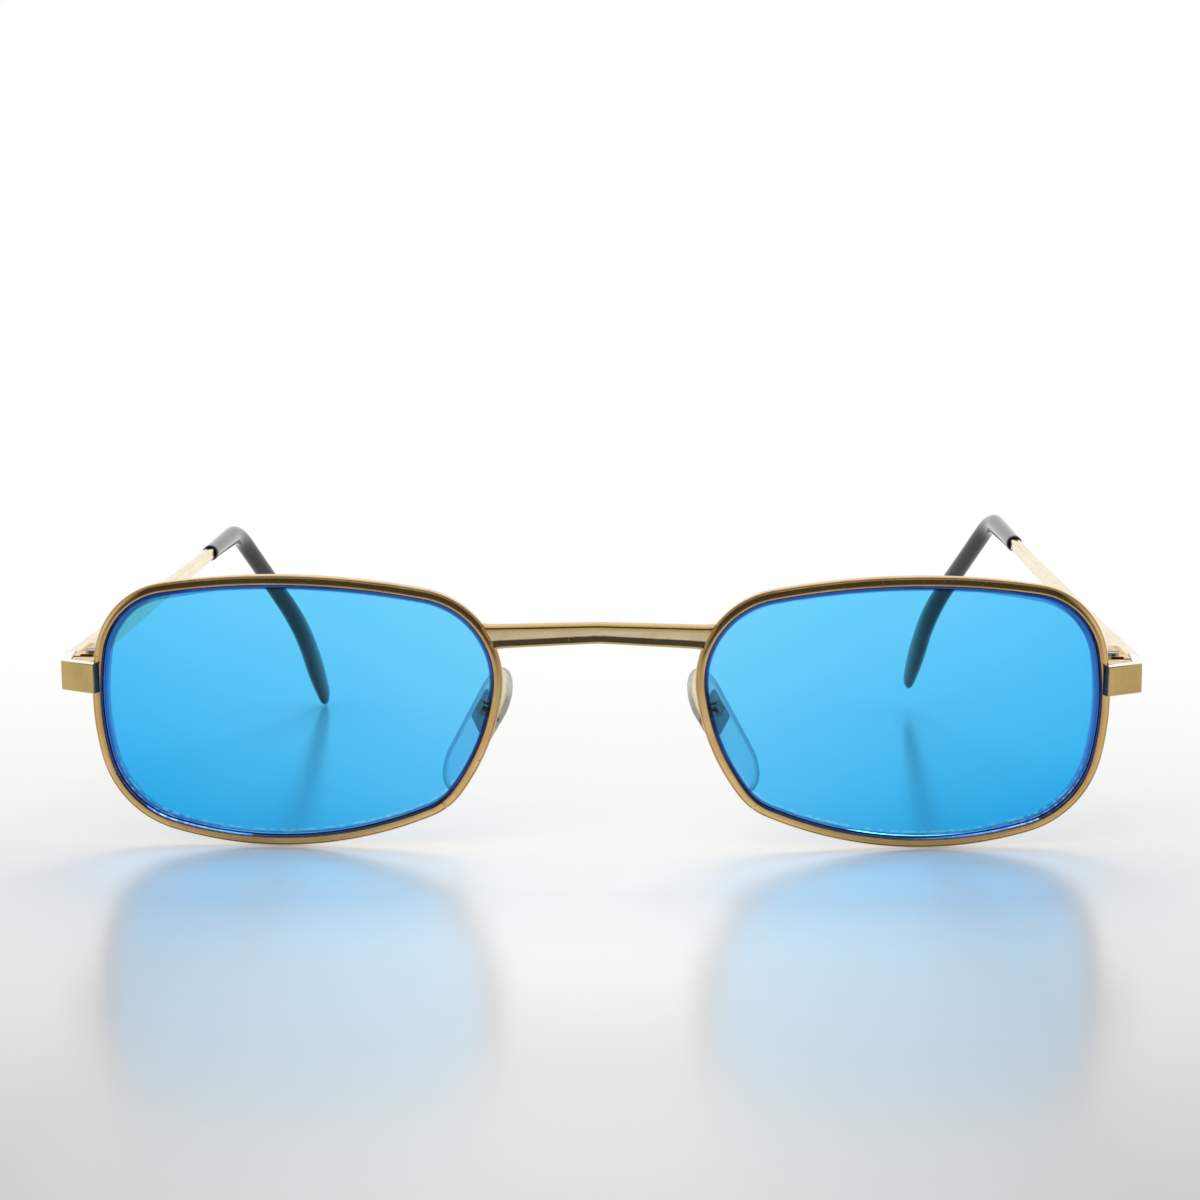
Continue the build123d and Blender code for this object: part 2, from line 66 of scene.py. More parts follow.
class Outline:
    """A closed outline of bulging sides with rounded corners, taken clockwise. Each side is an arc through
    two corners. Each corner is a smaller arc that touches both of its sides, so its centre lies where two
    circles cross: those about the two sides' centres, with the sides' radii less its own."""

    def __init__(self, corners, bulges, rounds):
        chords = np.roll(corners, -1, 0) - corners
        lengths = np.linalg.norm(chords, axis=1)
        side_radii = (lengths**2 / 4 + bulges**2) / (2 * bulges)
        outward = np.stack((-chords[:, 1], chords[:, 0]), 1) / lengths[:, None]
        side_centres = corners + chords / 2 - outward * (side_radii - bulges)[:, None]
        last_centres, last_radii = np.roll(side_centres, 1, 0), np.roll(side_radii, 1)
        gaps = side_centres - last_centres
        reach = np.linalg.norm(gaps, axis=1)
        along = ((last_radii - rounds) ** 2 - (side_radii - rounds) ** 2 + reach**2) / (2 * reach)
        aside = np.sqrt((last_radii - rounds) ** 2 - along**2)
        ahead = gaps / reach[:, None]
        square = np.stack((-ahead[:, 1], ahead[:, 0]), 1)
        middle = last_centres + ahead * along[:, None]
        spots = np.stack((middle + square * aside[:, None], middle - square * aside[:, None]))
        nearest = np.argmin(np.linalg.norm(spots - corners, axis=2), axis=0)
        round_centres = spots[nearest, np.arange(len(corners))]
        starts = round_centres - last_centres
        ends = round_centres - side_centres
        turns = np.stack((np.arctan2(starts[:, 1], starts[:, 0]), np.arctan2(ends[:, 1], ends[:, 0])), 1)
        self.angles = np.unwrap(np.append(turns.ravel(), turns[0, 0]))
        self.centres = np.stack((round_centres, side_centres), 1).reshape(-1, 2)
        self.radii = np.stack((rounds, side_radii), 1).ravel()
        self.marks = np.concatenate(((0,), np.cumsum(self.radii * -np.diff(self.angles))))

    def at(self, distance, margin=0.0):
        """The point that far round the outline, moved out by the margin: the centre of the arc there plus its
        radius in a direction that turns evenly with the distance."""
        distance = np.asarray(distance, float) % self.marks[-1]
        arc = np.clip(np.searchsorted(self.marks, distance, side="right") - 1, 0, len(self.radii) - 1)
        angle = self.angles[arc] - (distance - self.marks[arc]) / self.radii[arc]
        radius = self.radii[arc] + margin
        return self.centres[arc] + radius[..., None] * np.stack((np.cos(angle), np.sin(angle)), -1)


opening = Outline(corners, bulges, rounds)
lens_outward = np.array((cos(lens_wrap), sin(lens_wrap), 0))
lens_forward = np.array((sin(lens_wrap), -cos(lens_wrap), 0))
lens_middle = np.array((lens_spacing / 2, 0, 0))
curve_centre = lens_middle - curve_radius * lens_forward
upward = np.array((0, 0, 1))


def on_lens_curve(flat, depth):
    """A point of the lens plane moved on its line from the centre of the lens curve, to lie that deep behind
    the curve."""
    ray = unit(lens_middle + flat[..., :1] * lens_outward + flat[..., 1:] * upward - curve_centre)
    return curve_centre + ray * (curve_radius - np.asarray(depth, float))[..., None]


def softened(outline, radii, steps=4):
    """A closed outline with each corner made a short curve, the weighted mean of the corner and of a point
    that far along each of its two sides."""
    outline, radii = np.asarray(outline, float), np.broadcast_to(radii, len(outline))[:, None]
    start = outline + unit(np.roll(outline, 1, 0) - outline) * radii
    end = outline + unit(np.roll(outline, -1, 0) - outline) * radii
    t = np.linspace(0, 1, steps)[:, None]
    curves = start[:, None] * (1 - t) ** 2 + outline[:, None] * 2 * t * (1 - t) + end[:, None] * t**2
    return curves.reshape(-1, 2)


def stood(points):
    """Points of the wearer's frame leaned back about X, set down on the floor and given in metres."""
    x, y, z = np.moveaxis(points, -1, 0)
    leaned = np.stack((x, y * cos(lean) - z * sin(lean), y * sin(lean) + z * cos(lean)), -1)
    return (leaned + stood_at) / 1000


def skin(name, grid, finish, crease=38, even=True):
    """A closed skin on a grid of points, with its rows along the piece and its columns round it. Four
    neighbours make a face, and lids close the first and last rows. The map called grain gives each point's
    distance along and round the piece in millimetres."""
    rows, columns = grid.shape[:2]
    number = np.arange(rows * columns).reshape(rows, columns)
    beside = np.roll(number, -1, 1)
    quads = np.stack((number[:-1], beside[:-1], beside[1:], number[1:]), -1).reshape(-1, 4)
    lids = [number[0, ::-1], number[-1]]
    along = np.concatenate(((0,), np.cumsum(np.linalg.norm(np.diff(grid, axis=0), axis=2).mean(1))))
    around = np.concatenate(((0,), np.cumsum(np.linalg.norm(np.roll(grid, -1, 1) - grid, axis=2).mean(0))))
    spread = np.stack(np.meshgrid(along, around, indexing="ij"), -1)
    grain = np.stack((spread[:-1, :-1], spread[:-1, 1:], spread[1:, 1:], spread[1:, :-1]), 2)
    grain = grain.reshape(-1, 4, 2)
    lid_grain = [spread[0, :-1][::-1], spread[-1, :-1]]
    flat = stood(grid).reshape(-1, 3)
    # Six times the volume inside the faces. Where it is below 0 they point inwards, and are turned round.
    a, b, c, d = (flat[quads[:, k]] - flat.mean(0) for k in range(4))
    volume = (np.cross(b, c) * a).sum() + (np.cross(c, d) * a).sum()
    if volume < 0:
        quads, grain = quads[:, ::-1], grain[:, ::-1]
        lids = [lid[::-1] for lid in lids]
        lid_grain = [lid[::-1] for lid in lid_grain]
    mesh = bpy.data.meshes.new(name)
    mesh.from_pydata(flat.tolist(), [], quads.tolist() + [lid.tolist() for lid in lids])
    corner_grain = np.concatenate((grain.reshape(-1, 2), *lid_grain))
    mesh.uv_layers.new(name="grain").uv.foreach_set("vector", corner_grain.astype(np.float32).ravel())
    return dressed(name, mesh, finish, crease, even)


def dressed(name, mesh, finish, crease, even):
    """The mesh as an object with its finish, smooth except at edges sharper than the crease angle. Where even
    is true, its larger faces look flat right up to their edges."""
    mesh.shade_smooth()
    mesh.set_sharp_from_angle(angle=radians(crease))
    mesh.materials.append(finish)
    piece = bpy.data.objects.new(name, mesh)
    bpy.context.scene.collection.objects.link(piece)
    if even:
        piece.modifiers.new("flats", "WEIGHTED_NORMAL").keep_sharp = True
    return piece


def fitted(piece, body, node):
    """The piece rides on its body and stands for its CAD node, which is hidden."""
    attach(piece, body)
    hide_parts(node)


class Tone:
    """One output among a material's nodes. Arithmetic on it adds Math nodes."""

    def __init__(self, tree, socket=None):
        self.tree, self.socket = tree, socket

    def node(self, kind, inputs, output=0, **settings):
        """Any other node, from its type, its settings and the values or links of its sockets."""
        made = self.tree.nodes.new("ShaderNode" + kind)
        for key, value in settings.items():
            setattr(made, key, value)
        for key, value in inputs.items():
            if isinstance(value, Tone):
                self.tree.links.new(value.socket, made.inputs[key])
            else:
                made.inputs[key].default_value = value
        return Tone(self.tree, made.outputs[output])

    def math(self, operation, *values):
        """A Math node on these values."""
        return self.node("Math", dict(enumerate(values)), operation=operation)

    def __add__(self, other):
        return self.math("ADD", self, other)

    def __sub__(self, other):
        return self.math("SUBTRACT", self, other)

    def __rsub__(self, other):
        return self.math("SUBTRACT", other, self)

    def __mul__(self, other):
        return self.math("MULTIPLY", self, other)

    def __truediv__(self, other):
        return self.math("DIVIDE", self, other)

    def __pow__(self, other):
        return self.math("POWER", self, other)

    def __abs__(self):
        return self.math("ABSOLUTE", self)

    __radd__, __rmul__ = __add__, __mul__

    def between(self, low, high):
        """0 at low and 1 at high, and evenly in between."""
        return self.node("MapRange", {0: self, 1: low, 2: high})

    def mixed(self, first, second):
        """The first colour where this is 0, and the second where it is 1."""
        return self.node("Mix", {0: self, 6: first, 7: second}, output=2, data_type="RGBA")

    def axis(self, number):
        """One coordinate of a place: 0, 1 or 2 for X, Y or Z."""
        return self.node("SeparateXYZ", {0: self}, output=number)

    def place(self):
        """Where a point of the piece lies, in millimetres."""
        metres = self.node("TexCoord", {}, output="Object")
        return self.node("VectorMath", {0: metres, 1: (1000, 1000, 1000)}, operation="MULTIPLY")

    def grain(self):
        """How far along and round the piece a point lies, from the map that its skin carries."""
        return self.node("UVMap", {}, uv_map="grain")

    def noise(self, place, scale, detail=3, stretch=(1, 1, 1)):
        """Noise at that many lumps a millimetre, stretched along the axes whose share is small."""
        lumps = [scale * share for share in stretch]
        spot = self.node("VectorMath", {0: place, 1: lumps}, operation="MULTIPLY")
        return self.node("TexNoise", {"Vector": spot, "Scale": 1, "Detail": detail})

    def bump(self, height, strength, distance):
        """The surface tilted as that height would tilt it. The distance is in metres."""
        return self.node("Bump", {"Strength": strength, "Distance": distance, "Height": height})


def finish_of(name, **constants):
    """A new material, its Principled shader with these constants, and the start of its nodes."""
    material = bpy.data.materials.new(name)
    material.use_nodes = True
    shader = material.node_tree.nodes["Principled BSDF"]
    for key, value in constants.items():
        shader.inputs[key.replace("_", " ").title().replace("Ior", "IOR")].default_value = value
    return material, shader, Tone(material.node_tree)


def fed(shader, tones):
    """Each tone goes to the shader's socket of that name."""
    for key, tone in tones.items():
        tone.tree.links.new(tone.socket, shader.inputs[key])


stain_brown, pit_black = (0.62, 0.42, 0.30, 1), (0.05, 0.035, 0.025, 1)


def satin_gold(name, light, dark, streak_depth, smooth=0.11, wear_and_highlights=None):
    """Gold-coloured metal: brush lines along the piece, brown tarnish in soft patches, reddish stains and a
    few fine pits. From the place and the grain, wear_and_highlights makes pairs of a mask and the colour that
    it
    shows: edge wear, and painted highlights."""
    material, shader, start = finish_of(name, metallic=1)
    place, grain = start.place(), start.grain()
    lines = start.noise(grain, 7, 4, (0.03, 1, 1))
    fine = start.noise(place, 3.5, 4)
    patches = start.noise(place, 0.16, 5)
    stains = start.noise(place, 0.7, 6)
    pits = start.noise(place, 2.1, 2).between(0.735, 0.76)
    tarnish = patches.between(0.38, 0.68) * 0.5 + lines.between(0.4, 0.65) * 0.3
    tarnish = tarnish + stains.between(0.45, 0.75) * 0.2
    colour = tarnish.mixed(light, dark)
    colour = (stains.between(0.6, 0.72) * 0.3).mixed(colour, stain_brown)
    for mask, mark_colour in wear_and_highlights(place, grain) if wear_and_highlights else ():
        colour = mask.mixed(colour, mark_colour)
    colour = (pits * 0.9).mixed(colour, pit_black)
    rough = lines.between(0.3, 0.7) * 0.06 + fine.between(0.35, 0.65) * 0.05
    rough = rough + patches.between(0.3, 0.7) * 0.05 + pits * 0.3 + smooth
    bump = start.bump(lines * 0.7 + fine * 0.3 - pits * 1.5, 0.5, streak_depth)
    fed(shader, {"Base Color": colour, "Roughness": rough, "Normal": bump})
    return material


def inner_edge(place, grain):
    """Brown on the narrow bevel next to the lens, where the wire's grain starts."""
    bevel = 1 - grain.axis(1).between(0.1, 0.3)
    return [(bevel, (0.50, 0.20, 0.05, 1))]


gold_light, gold_dark = (0.84, 0.57, 0.25, 1), (0.60, 0.38, 0.14, 1)
gold = satin_gold("satin_gold", gold_light, gold_dark, 0.00002)
wire_gold = satin_gold("wire_gold", gold_light, gold_dark, 0.00003, 0.1, inner_edge)

# The wire's section, out from the lens and back from the front: the bevel, the crowned face with a fine line
# in it, the outer edge, the back, and the groove for the lens. Below it are the radii of its corners.
groove_front, groove_back = (wire_depth - groove_width) / 2, (wire_depth + groove_width) / 2
wire_section = softened(
    (
        (0, 0.2), (0.12, 0.04), (0.36, 0.02), (0.66, 0.08), (0.93, 0.19), (0.98, 0.26), (1.04, 0.21),
        (1.16, 0.26), (wire_width, 0.45), (wire_width, wire_depth - 0.1), (wire_width - 0.15, wire_depth),
        (0.1, wire_depth), (0, wire_depth - 0.1), (0, groove_back), (groove_depth, groove_back),
        (groove_depth, groove_front), (0, groove_front),
    ),
    (0.05, 0.06, 0.12, 0.14, 0.03, 0.02, 0.03, 0.06, 0.08, 0.05, 0.05, 0.04, 0.04, 0.04, 0.04, 0.04, 0.04),
    3,
)
# Corners and sides take turns among the opening's arcs. The wire is split in the fourth, the side at the
# temple, level with the end piece.
temple_arc = 3
temple_radius, temple_level = opening.radii[temple_arc], opening.centres[temple_arc][1]
split_turn = opening.angles[temple_arc] - np.arcsin((strip_level - temple_level) / temple_radius)
split_mark = opening.marks[temple_arc] + split_turn * temple_radius
round_trip = np.linspace(split_mark + wire_split / 2, split_mark + opening.marks[-1] - wire_split / 2, 520)
wire_grid = on_lens_curve(opening.at(round_trip[:, None], wire_section[:, 0]), wire_section[:, 1])
for side, sign in sides:
    rim = skin(f"{side}_rim_wire", wire_grid * (sign, 1, 1), wire_gold)
    fitted(rim, "front_frame", f"{side}_eyewire")

# Lenses: curved blue-tinted glass, 1.8 mm thick, with a small ridge that sits in the eyewire's groove. The
# tint is lighter towards the top and the nose. Along the edge, a darker band and a navy line are painted
# shade for the glass's own edge seen through its front, with small chips beside them. Each is a closed shell
# of rings from the middle of its front over the edge to the middle of its back.
lens_thickness, lens_ridge, lens_play = 1.8, 0.5, 0.03
face_depth = (wire_depth - lens_thickness) / 2
ridge_depth = (wire_depth - lens_ridge) / 2

lens_edge = softened(
    (
        (-lens_play, face_depth), (-lens_play, ridge_depth), (groove_depth - lens_play, ridge_depth),
        (groove_depth - lens_play, wire_depth - ridge_depth), (-lens_play, wire_depth - ridge_depth),
        (-lens_play, wire_depth - face_depth),
    ),
    (0.12, 0.05, 0.05, 0.05, 0.05, 0.12),
)
edge_trip = np.linspace(0, opening.marks[-1], 361)[:-1, None]
# The rings stand closer together towards the edge, and the last six lie these distances inside it.
ring_shares = np.sin(np.linspace(0.015, 0.96, 22) * pi / 2)[:, None, None]
outer_margins = -lens_play - np.array((1.0, 0.7, 0.45, 0.3, 0.2, 0.13))
inner_share = 0.97
outer_rings = opening.at(edge_trip, outer_margins).swapaxes(0, 1)
inner_rings = outer_rings[0] * ring_shares / ring_shares[-1] * inner_share
flat_rings = np.concatenate((inner_rings, outer_rings))
edge_rings = on_lens_curve(opening.at(edge_trip, lens_edge[1:-1, 0]), lens_edge[1:-1, 1]).swapaxes(0, 1)
front_rings = on_lens_curve(flat_rings, face_depth)
back_rings = on_lens_curve(flat_rings[::-1], wire_depth - face_depth)
lens_grid = np.concatenate((front_rings, edge_rings, back_rings))
ring_gaps = np.linalg.norm(np.diff(lens_grid, axis=0), axis=2).mean(1)
# The way over the edge, from 0.1 mm outside the front's last ring to 0.1 mm outside the back's first one.
edge_round = ring_gaps[len(front_rings) - 1 : 1 - len(back_rings)].sum() - 0.2

# The tint fades upwards and towards the nose. The band of painted shade is wider at the temple, and chips lie
# low beside it.
deep_blue, sky_blue, painted_shade_navy = (0.002, 0.43, 0.92, 1), (0.17, 0.67, 1, 1), (0.006, 0.012, 0.10, 1)
painted_shade_band_blue, chip_blue = (0.02, 0.15, 0.52, 1), (0.60, 0.86, 1, 1)
lens_blue, lens_shader, start = finish_of("tinted_glass", roughness=0, transmission_weight=1, ior=1.3)
place = start.place()
outward, up = abs(place.axis(0)), place.axis(2)
fade = up.between(2, 33) * 0.6 + (1 - outward / 62) * 0.55 + (start.noise(place, 0.05, 2) - 0.5) * 0.15
from_edge = abs(start.grain().axis(0) - ring_gaps.sum() / 2) - edge_round / 2
marks = start.noise(place, 1.3, 4)
band = 0.28 + outward.between(46, 58) * 0.55 + (marks - 0.5) * 0.12
chips = (1 - up.between(6, 12)) * from_edge.between(0.3, 0.4) * (1 - from_edge.between(0.5, 0.65))
chips = chips * marks.between(0.47, 0.56)
tint = fade.mixed(deep_blue, sky_blue)
tint = (1 - (from_edge - band).between(-0.06, 0.06)).mixed(tint, painted_shade_band_blue)
tint = (chips * 0.8).mixed(tint, chip_blue)
# Painted shade: a navy line right at the edge, where the glass's edge shows through its front.
tint = (1 - from_edge.between(0.1, 0.22)).mixed(tint, painted_shade_navy)
fed(lens_shader, {"Base Color": tint})


def shown(start, mask, shader, other):
    """The surface shows the material's own shader where the mask is 0, and the other one where it is 1."""
    surface = start.node("MixShader", {0: mask, 1: Tone(start.tree, shader.outputs[0]), 2: other})
    start.tree.links.new(surface.socket, start.tree.nodes["Material Output"].inputs["Surface"])


def tinting_shadow(start, shader, colour):
    """The piece's shadow takes that colour, as light through the real piece would."""
    filtered = start.node("BsdfTransparent", {"Color": colour})
    shown(start, start.node("LightPath", {}, output="Is Shadow Ray"), shader, filtered)


tinting_shadow(start, lens_shader, (0.26, 0.40, 0.60, 1))
for side, sign in sides:
    lens = skin(f"{side}_tinted_lens", lens_grid * (sign, 1, 1), lens_blue, crease=50, even=False)
    fitted(lens, "front_frame", f"{side}_lens")

# Bridge: a flat satin bar soldered between the eyewires, with a bevelled top edge and a groove above the lip
# along its lower edge, all drawn as one section carried across. The bar rises to a blunt peak in the middle,
# and solder spreads it a little where it meets the wires.
bar_top, bar_height, bar_bevel = 10.2, 2.4, 0.32
bar_front, bar_back, bar_relief = 0.5, 2.0, 0.35
lip_height, band_low = 0.3, 1.04
top_fall, bottom_fall, peak_softness = 0.45, 1.0, 0.45
end_fall_share, wire_overlap = 0.65, 0.12
solder_spread, solder_reach, solder_forward = 0.16, 0.45, 0.3

# The section, up from the bottom and back from the lens plane: lip, groove, band, bevel and back.
bar_section = softened(
    (
        (0, bar_front), (lip_height, bar_front), (band_low, bar_front + bar_relief), (band_low, bar_front),
        (bar_height - bar_bevel * 1.2, bar_front),
        (bar_height - bar_bevel * 0.7, bar_front + bar_bevel * 0.2), (bar_height, bar_front + bar_bevel),
        (bar_height, bar_back), (0, bar_back),
    ),
    (0.1, 0.08, 0.03, 0.05, 0.05, 0.08, 0.1, 0.2, 0.2),
    5,
)
# The grain starts at the bottom of the front, so this is how far along it the bevel begins.
groove_slope = np.hypot(band_low - lip_height, bar_relief)
band_top = lip_height + groove_slope + bar_relief + bar_height - bar_bevel * 1.2 - band_low


def bar_edges(place, grain):
    """A warmer gold on the bar's lip and on its top bevel, past its front."""
    up = grain.axis(1)
    front = up.between(lip_height, lip_height + 0.1) * (1 - up.between(band_top, band_top + 0.1))
    return [(1 - front, (0.70, 0.48, 0.19, 1))]


bridge_light, bridge_dark = (0.80, 0.65, 0.43, 1), (0.60, 0.46, 0.26, 1)
bridge_gold = satin_gold("bridge_gold", bridge_light, bridge_dark, 0.00003, 0.13, bar_edges)
bar_stations = np.sin(np.linspace(-1, 1, 121) * pi / 2)
nose_side = opening.at(np.linspace(0, opening.marks[-1], 2000), wire_width)
nose_side = nose_side[(nose_side[:, 0] < -lens_width / 3) & (nose_side[:, 1] > 0)]
nose_side = nose_side[np.argsort(nose_side[:, 1])]
wall_x = on_lens_curve(nose_side, np.full(len(nose_side), wire_depth / 2))[:, 0]
# The bar falls away evenly from a softened peak, and the solder's spread fades away from its ends.
height, depth = bar_section.T
bar_reach = lens_spacing / 4
rise = bar_top - bar_height + height
falls = np.where(height > band_low, top_fall, bottom_fall)
bar_half = np.interp(rise - falls * end_fall_share, nose_side[:, 1], wall_x) + wire_overlap
bar_x = bar_stations[:, None] * bar_half
bar_fall = (np.sqrt(bar_x**2 + peak_softness**2) - peak_softness) / bar_reach * falls
solder = solder_spread * np.exp((np.abs(bar_x) - bar_half) / solder_reach)
bar_z = rise - bar_fall + solder * (2 * height / bar_height - 1)
bar_y = depth - solder * solder_forward * (depth < bar_front + bar_relief / 2)
bridge_bar = skin("bridge_bar", np.stack((bar_x, bar_y, bar_z), -1), bridge_gold)
fitted(bridge_bar, "front_frame", "bridge")

# End pieces: a flat strip 3.7 mm high and 1.2 mm thick, soldered on the front of each eyewire, swept back and
# bent sharply round the corner to the hinge. It is a prism on the bent line, with its edges eased.
hinge_slope = radians(0.9)
strip_height, strip_thickness = 3.7, 1.2
end_piece_reach, pin_inset, pin_setback, corner_setback = 3.9, 3.1, 10.3, 5.2
# Seen from above and counted from the hinge pin: the strip's corner, its start and its end at the temple.
sweep, sweep_reach = radians(27.6), 4.387
outer_face, butt_gap = 3.3, 0.12
corner_spot = np.array((pin_inset, corner_setback - pin_setback))
leg_start = corner_spot - np.array((cos(sweep), sin(sweep))) * sweep_reach / cos(sweep)
leg_end = np.array((outer_face, -butt_gap / 2))
front_half_width = (lens_spacing + lens_width) / 2 + end_piece_reach
pin_place = np.array((front_half_width - pin_inset, pin_setback, strip_level))
slope_cos, slope_sin = cos(hinge_slope), sin(hinge_slope)
pin_axes = np.array(((1, 0, 0), (0, slope_cos, -slope_sin), (0, slope_sin, slope_cos)))


def beside_line(line, thickness):
    """The line and its copy that far to its left, as one closed outline. The copy's corner lies where its
    sides meet."""
    ahead = unit(np.diff(line, axis=0))
    left = np.stack((-ahead[:, 1], ahead[:, 0]), 1)
    turned = unit(left[:-1] + left[1:])
    lengths = thickness / (turned * left[1:]).sum(1, keepdims=True)
    shifts = np.concatenate((left[:1] * thickness, turned * lengths, left[-1:] * thickness))
    return np.concatenate((line, (line + shifts)[::-1]))


def eased(piece, width, segments=3):
    """The piece's sharp edges rounded to that width in millimetres."""
    bevel = piece.modifiers.new("edges", "BEVEL")
    bevel.width, bevel.segments = width / 1000, segments
    bevel.limit_method, bevel.angle_limit = "ANGLE", radians(30)
    piece.modifiers.move(len(piece.modifiers) - 1, 0)
    return piece


strip_outline = beside_line(np.stack((leg_start, corner_spot, leg_end)), strip_thickness)
strip_levels = np.array((-1, 1))[:, None] * strip_height / 2
strip_places = np.broadcast_arrays(strip_outline[:, 0], strip_outline[:, 1], strip_levels)
strip_grid = pin_place + np.stack(strip_places, -1) @ pin_axes
strip_end = pin_place[0] + leg_start[0]

# The plane of the strip's upper edges, as its height at Y = 0 and its slope.
top_slope = tan(lean - hinge_slope)
top_spot = stood(pin_place + pin_axes[2] * strip_height / 2) * 1000
top_level = top_spot[2] - top_spot[1] * top_slope
# The colour of the painted highlight on the strip's top, and that of the uncoated base metal.
painted_highlight_white, base_metal = (1, 0.95, 0.86, 1), (0.24, 0.15, 0.11, 1)


def strip_edges(place, grain):
    """A painted highlight on the strip's top, above the plane of its upper edges, which is made near white
    where it mirrors the bright background. Uncoated base metal shows on its cut end."""
    cut = 1 - abs(place.axis(0)).between(strip_end + 0.02, strip_end + 0.14)
    painted_top_highlight = (place.axis(2) - place.axis(1) * top_slope - top_level).between(-0.12, -0.04)
    return [(painted_top_highlight, painted_highlight_white), (cut, base_metal)]


strip_light, strip_dark = (0.74, 0.53, 0.22, 1), (0.55, 0.38, 0.14, 1)
strip_gold = satin_gold("strip_gold", strip_light, strip_dark, 0.00002, 0.12, strip_edges)
for side, sign in sides:
    strip = eased(skin(f"{side}_end_strip", strip_grid * (sign, 1, 1), strip_gold, crease=20), 0.13)
    fitted(strip, "front_frame", f"{side}_end_piece")

# Closing blocks and hinge leaves: small machined pieces of the same metal, soldered behind the end piece and
# inside the temple. They keep the shapes of the CAD model, with their edges broken.


def refined(node, name, body, finish, width):
    """A copy of a CAD node with its triangles merged, its flats made whole and its edges eased to that width.
    Points within 2 micrometres are merged, and faces within 0.6 degrees become one flat."""
    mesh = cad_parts[node].data.copy()
    mesh.materials.clear()
    if "custom_normal" in mesh.attributes:
        mesh.attributes.remove(mesh.attributes["custom_normal"])
    shape = bmesh.new()
    shape.from_mesh(mesh)
    bmesh.ops.remove_doubles(shape, verts=shape.verts, dist=2e-6)
    bmesh.ops.dissolve_limit(shape, angle_limit=radians(0.6), verts=shape.verts, edges=shape.edges)
    shape.to_mesh(mesh)
    shape.free()
    piece = dressed(name, mesh, finish, crease=30, even=True)
    if width:
        eased(piece, width, 2)
    fitted(piece, body, node)


broken_edge = 0.05
for side, _ in sides:
    for node, name, body in (
        ("closing_block_upper", "block_upper", "front_frame"),
        ("closing_block_lower", "block_lower", "front_frame"),
        ("hinge_front_leaf", "front_leaf", "front_frame"),
        ("hinge_temple_leaf", "temple_leaf", f"{side}_temple_arm"),
    ):
        refined(f"{side}_{node}", f"{side}_{name}", body, gold, broken_edge)

# Screws: turned steel with a driver slot. One closes each block, one is each hinge's pin and a small one
# holds each nose pad.
steel, steel_shader, start = finish_of("turned_steel", metallic=1)
turning = start.noise(start.place(), 9, 3)
steel_colour = turning.between(0.35, 0.7).mixed((0.62, 0.60, 0.56, 1), (0.40, 0.38, 0.35, 1))
steel_bump = start.bump(turning, 0.3, 0.00001)
fed(steel_shader, {"Base Color": steel_colour, "Roughness": turning * 0.2 + 0.22, "Normal": steel_bump})
for side, _ in sides:
    for node, name, width in (
        ("closing_screw", "block_screw", 0.04),
        ("hinge_screw", "pin_screw", 0.05),
        ("pad_screw", "small_screw", 0.03),
    ):
        refined(f"{side}_{node}", f"{side}_{name}", "front_frame", steel, width)

# Temples: a flat spring strip of the same metal, 3.5 mm high at the hinge and thinning to a rod at the tip,
# polished all over, its gold painted pale cream as a painted sheen of the bright background that it mirrors.
# The wearer's left one is bent 1.3 degrees higher than the right one.
temple_turn, lifts = radians(6), {"left": radians(1.3), "right": 0}
temple_thickness, strip_length, bend_distance = 1.3, 74, 87.5
# At four places along the temple: how far it is, and how thick, high and rounded the strip is.
temple_stations = (
    (butt_gap / 2, 1.3, 3.5, 0.22),
    (35, 1.3, 2.2, 0.24),
    (70, 1.4, 1.6, 0.5),
    (strip_length, 1.4, 1.5, 0.6),
)


def temple_axes(side):
    """Out through the temple, back along it and up, as three rows: the hinge's axes turned in and lifted."""
    across, along, up = pin_axes
    out = across * cos(temple_turn) + along * sin(temple_turn)
    back = along * cos(temple_turn) - across * sin(temple_turn)
    lift = lifts[side]
    return np.stack((out, back * cos(lift) + up * sin(lift), up * cos(lift) - back * sin(lift)))


# Painted sheen: the temples' gold is made pale cream, as it looks when it mirrors the bright background.
sheen_painted_gold = satin_gold("sheen_painted_gold", (0.94, 0.84, 0.62, 1), (0.86, 0.73, 0.48, 1), 0.000006, 0.08)
distance = np.concatenate((np.linspace(butt_gap / 2, 3, 8), np.linspace(4, strip_length, 70)))
known = np.array(temple_stations).T
thick, high, soft = (np.interp(distance, known[0], row)[:, None] for row in known[1:])
edge = softened(((-0.5, -0.5), (0.5, -0.5), (0.5, 0.5), (-0.5, 0.5)), 0.5, 7)
steps = np.abs(np.abs(edge) - 0.5) * 2
pull = np.sign(edge)
local = np.stack(
    (
        pull[:, 0] * (thick / 2 - steps[:, 0] * soft) + outer_face - temple_thickness / 2,
        distance[:, None] + 0 * edge[:, 0],
        pull[:, 1] * (high / 2 - steps[:, 1] * soft),
    ),
    -1,
)
for side, sign in sides:
    temple_grid = pin_place + local @ temple_axes(side)
    strip = skin(f"{side}_temple_strip", temple_grid * (sign, 1, 1), sheen_painted_gold)
    fitted(strip, f"{side}_temple_arm", f"{side}_temple")

